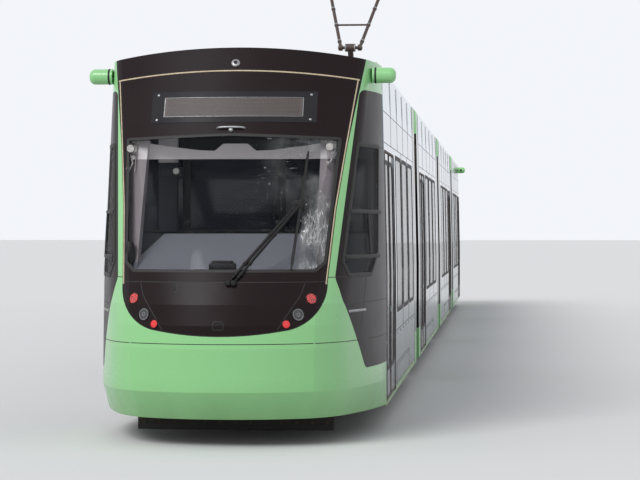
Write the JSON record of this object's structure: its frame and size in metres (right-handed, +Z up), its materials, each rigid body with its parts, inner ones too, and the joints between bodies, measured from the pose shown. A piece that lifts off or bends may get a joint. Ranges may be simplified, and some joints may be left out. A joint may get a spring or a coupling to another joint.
{
  "type": "tram",
  "caption": "Articulated low-floor tram with a cab at each end, double doors, hinged sections with bellows, one bogie under each section and a raised single-arm current collector",
  "frame": {"origin": "middle of the bounding box in plan, at the lowest point of the wheel flanges", "axes": "+Z up, Y along the car with the pictured end at minus Y, X across the car"},
  "size_m": [2.88, 37, 6.03],
  "materials": {
    "panel_mirror": "mirror-bright coating",
    "underframe": "matt paint",
    "roof_grey": "satin paint",
    "door_leaf": "mirror-bright coating",
    "window_glass": "tinted",
    "bogie_black": "matt, dusty",
    "seat_shell": "moulded",
    "wheel_steel": "worn",
    "bellows_rubber": "folded",
    "body_green": "gloss paint",
    "mask_black": "gloss",
    "lamp_red": "red lens",
    "desk_grey": "grained",
    "wiper_black": "matt",
    "collector_dark": "matt, worn"
  },
  "bodies": {
    "section_1": {"shell_1": "panel_mirror", "floor_1": "underframe", "roof_1": "roof_grey", "doors_1": "door_leaf", "glass_1": "window_glass", "bogie_1": "bogie_black", "seats_1": "seat_shell", "cab_body_1": "body_green", "cab_mask_1": "mask_black", "cab_glass_1": "window_glass", "lamps_1": "lamp_red", "cab_desk_1": "desk_grey", "wiper_1": "wiper_black", "bellows_1": "bellows_rubber"},
    "wheelset_1_1": {"wheelset_1_1": "wheel_steel"},
    "wheelset_1_2": {"wheelset_1_2": "wheel_steel"},
    "section_2": {"shell_2": "panel_mirror", "floor_2": "underframe", "roof_2": "roof_grey", "doors_2": "door_leaf", "glass_2": "window_glass", "bogie_2": "bogie_black", "seats_2": "seat_shell", "collector_base": "collector_dark", "bellows_2": "bellows_rubber"},
    "wheelset_2_1": {"wheelset_2_1": "wheel_steel"},
    "wheelset_2_2": {"wheelset_2_2": "wheel_steel"},
    "section_3": {"shell_3": "panel_mirror", "floor_3": "underframe", "roof_3": "roof_grey", "doors_3": "door_leaf", "glass_3": "window_glass", "bogie_3": "bogie_black", "seats_3": "seat_shell", "bellows_3": "bellows_rubber"},
    "wheelset_3_1": {"wheelset_3_1": "wheel_steel"},
    "wheelset_3_2": {"wheelset_3_2": "wheel_steel"},
    "section_4": {"shell_4": "panel_mirror", "floor_4": "underframe", "roof_4": "roof_grey", "doors_4": "door_leaf", "glass_4": "window_glass", "bogie_4": "bogie_black", "seats_4": "seat_shell", "cab_body_4": "body_green", "cab_mask_4": "mask_black", "cab_glass_4": "window_glass", "lamps_4": "lamp_red", "cab_desk_4": "desk_grey", "wiper_4": "wiper_black"},
    "wheelset_4_1": {"wheelset_4_1": "wheel_steel"},
    "wheelset_4_2": {"wheelset_4_2": "wheel_steel"},
    "collector_lower": {"collector_lower_arm": "collector_dark"},
    "collector_upper": {"collector_upper_arm": "collector_dark"},
    "collector_head": {"collector_head": "collector_dark"}
  },
  "joints": [
    {"name": "pivot_1", "type": "hinge", "parent": "section_2", "child": "section_1", "pos_m": [0, -9, 0.35], "axis": [0, 0, 1], "range_deg": [-18, 18], "deforming": ["bellows_1"]},
    {"name": "pivot_2", "type": "hinge", "parent": "section_2", "child": "section_3", "pos_m": [0, 0, 0.35], "axis": [0, 0, 1], "range_deg": [-18, 18], "deforming": ["bellows_2"]},
    {"name": "pivot_3", "type": "hinge", "parent": "section_3", "child": "section_4", "pos_m": [0, 9, 0.35], "axis": [0, 0, 1], "range_deg": [-18, 18], "deforming": ["bellows_3"]},
    {"name": "axle_1_1", "type": "hinge", "parent": "section_1", "child": "wheelset_1_1", "pos_m": [0, -13.74, 0.325], "axis": [1, 0, 0], "continuous": true},
    {"name": "axle_1_2", "type": "hinge", "parent": "section_1", "child": "wheelset_1_2", "pos_m": [0, -11.94, 0.325], "axis": [1, 0, 0], "continuous": true},
    {"name": "axle_2_1", "type": "hinge", "parent": "section_2", "child": "wheelset_2_1", "pos_m": [0, -5.4, 0.325], "axis": [1, 0, 0], "continuous": true},
    {"name": "axle_2_2", "type": "hinge", "parent": "section_2", "child": "wheelset_2_2", "pos_m": [0, -3.6, 0.325], "axis": [1, 0, 0], "continuous": true},
    {"name": "axle_3_1", "type": "hinge", "parent": "section_3", "child": "wheelset_3_1", "pos_m": [0, 3.6, 0.325], "axis": [1, 0, 0], "continuous": true},
    {"name": "axle_3_2", "type": "hinge", "parent": "section_3", "child": "wheelset_3_2", "pos_m": [0, 5.4, 0.325], "axis": [1, 0, 0], "continuous": true},
    {"name": "axle_4_1", "type": "hinge", "parent": "section_4", "child": "wheelset_4_1", "pos_m": [0, 11.94, 0.325], "axis": [1, 0, 0], "continuous": true},
    {"name": "axle_4_2", "type": "hinge", "parent": "section_4", "child": "wheelset_4_2", "pos_m": [0, 13.74, 0.325], "axis": [1, 0, 0], "continuous": true},
    {"name": "collector_lower", "type": "hinge", "parent": "section_2", "child": "collector_lower", "pos_m": [0, -1.3, 3.48], "axis": [1, 0, 0], "range_deg": [-6, 37]},
    {"name": "collector_upper", "type": "hinge", "parent": "collector_lower", "child": "collector_upper", "pos_m": [0, -2.65, 4.77], "axis": [1, 0, 0], "range_deg": [-72.15, 11.7]},
    {"name": "collector_head", "type": "hinge", "parent": "collector_upper", "child": "collector_head", "pos_m": [0, -1.25, 5.9], "axis": [1, 0, 0], "range_deg": [-5.7, 35.15]}
  ],
  "couplings": [
    {"joint": "collector_upper", "follows": "collector_lower", "ratio": -1.95},
    {"joint": "collector_head", "follows": "collector_lower", "ratio": 0.95}
  ]
}
